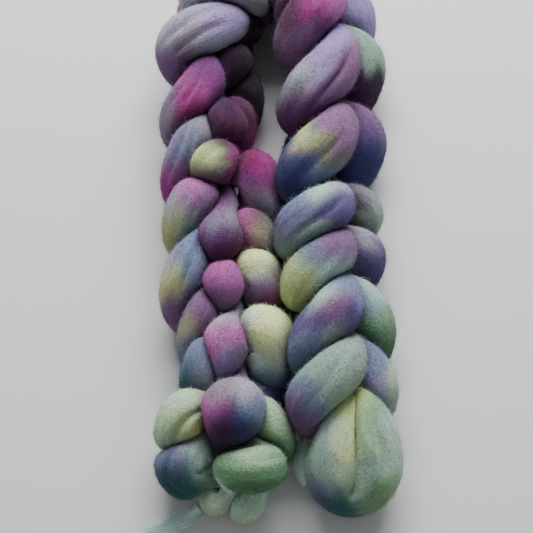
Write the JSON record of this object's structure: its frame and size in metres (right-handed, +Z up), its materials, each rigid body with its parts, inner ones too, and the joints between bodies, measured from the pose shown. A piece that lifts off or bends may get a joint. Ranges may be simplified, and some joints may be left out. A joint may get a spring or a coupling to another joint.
{
  "type": "braid of wool roving",
  "caption": "Hand-dyed combed wool roving chained into a thick braid, folded in two so that both legs lie side by side, with a fat end loop and one loose tuft of fibre.",
  "frame": {"origin": "on the surface that the braid lies on, under the middle of its length and width, the loose end left out", "axes": "+Y along the braid towards its folded bend, the two ends at -Y; +X across the braid, from the flat-lying leg to the leg on its edge; +Z up from the surface"},
  "size_m": [0.1492, 0.3822, 0.0762],
  "materials": {
    "combed_wool": "matte, soft combed fibre",
    "combed_wool_pale": "matte, soft combed fibre"
  },
  "bodies": {
    "root": {"RovingBraid": "combed_wool", "LooseEnd": "combed_wool_pale"}
  },
  "joints": []
}
